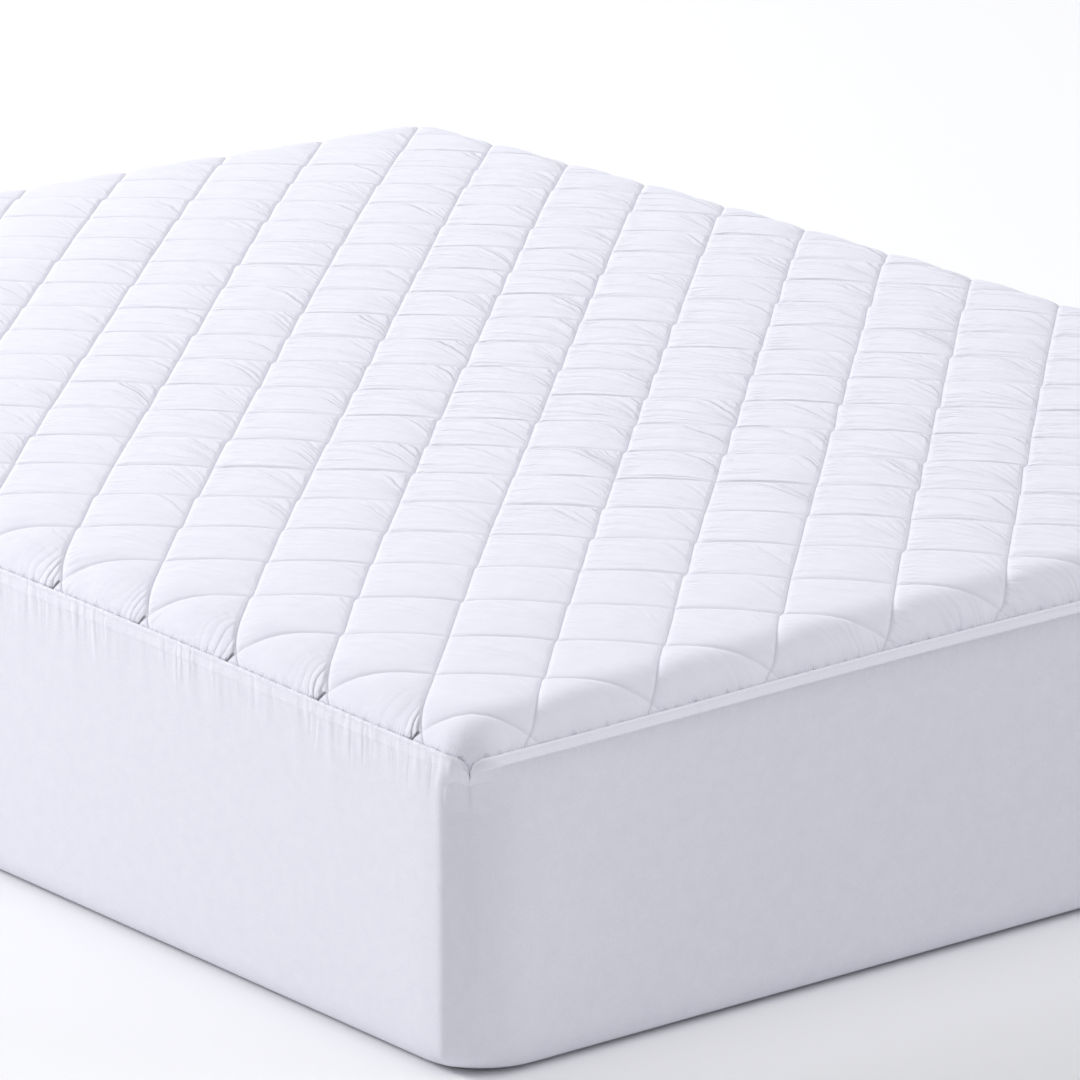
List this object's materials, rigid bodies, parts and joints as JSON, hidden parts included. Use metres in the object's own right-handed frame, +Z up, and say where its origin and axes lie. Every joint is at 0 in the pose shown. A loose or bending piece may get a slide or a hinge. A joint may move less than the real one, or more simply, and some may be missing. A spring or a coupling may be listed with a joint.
{
  "type": "quilted mattress protector on a mattress",
  "caption": "Diamond-quilted fitted mattress protector with a smooth stretch skirt, gathered under the seam and turned in under a deep rounded mattress.",
  "frame": {"origin": "under the middle of the mattress, on the surface it stands on", "axes": "+X across the bed, +Y along it towards the head, +Z up"},
  "size_m": [1.5374, 2.041, 0.3945],
  "materials": {
    "quilted_cotton": "smooth white woven cotton quilted over soft filling, matt",
    "stretch_knit": "fine white stretch knit, matt",
    "mattress_ticking": "plain off-white mattress ticking, matt"
  },
  "bodies": {
    "root": {"quilted_top": "quilted_cotton", "skirt": "stretch_knit", "mattress": "mattress_ticking"}
  },
  "joints": []
}
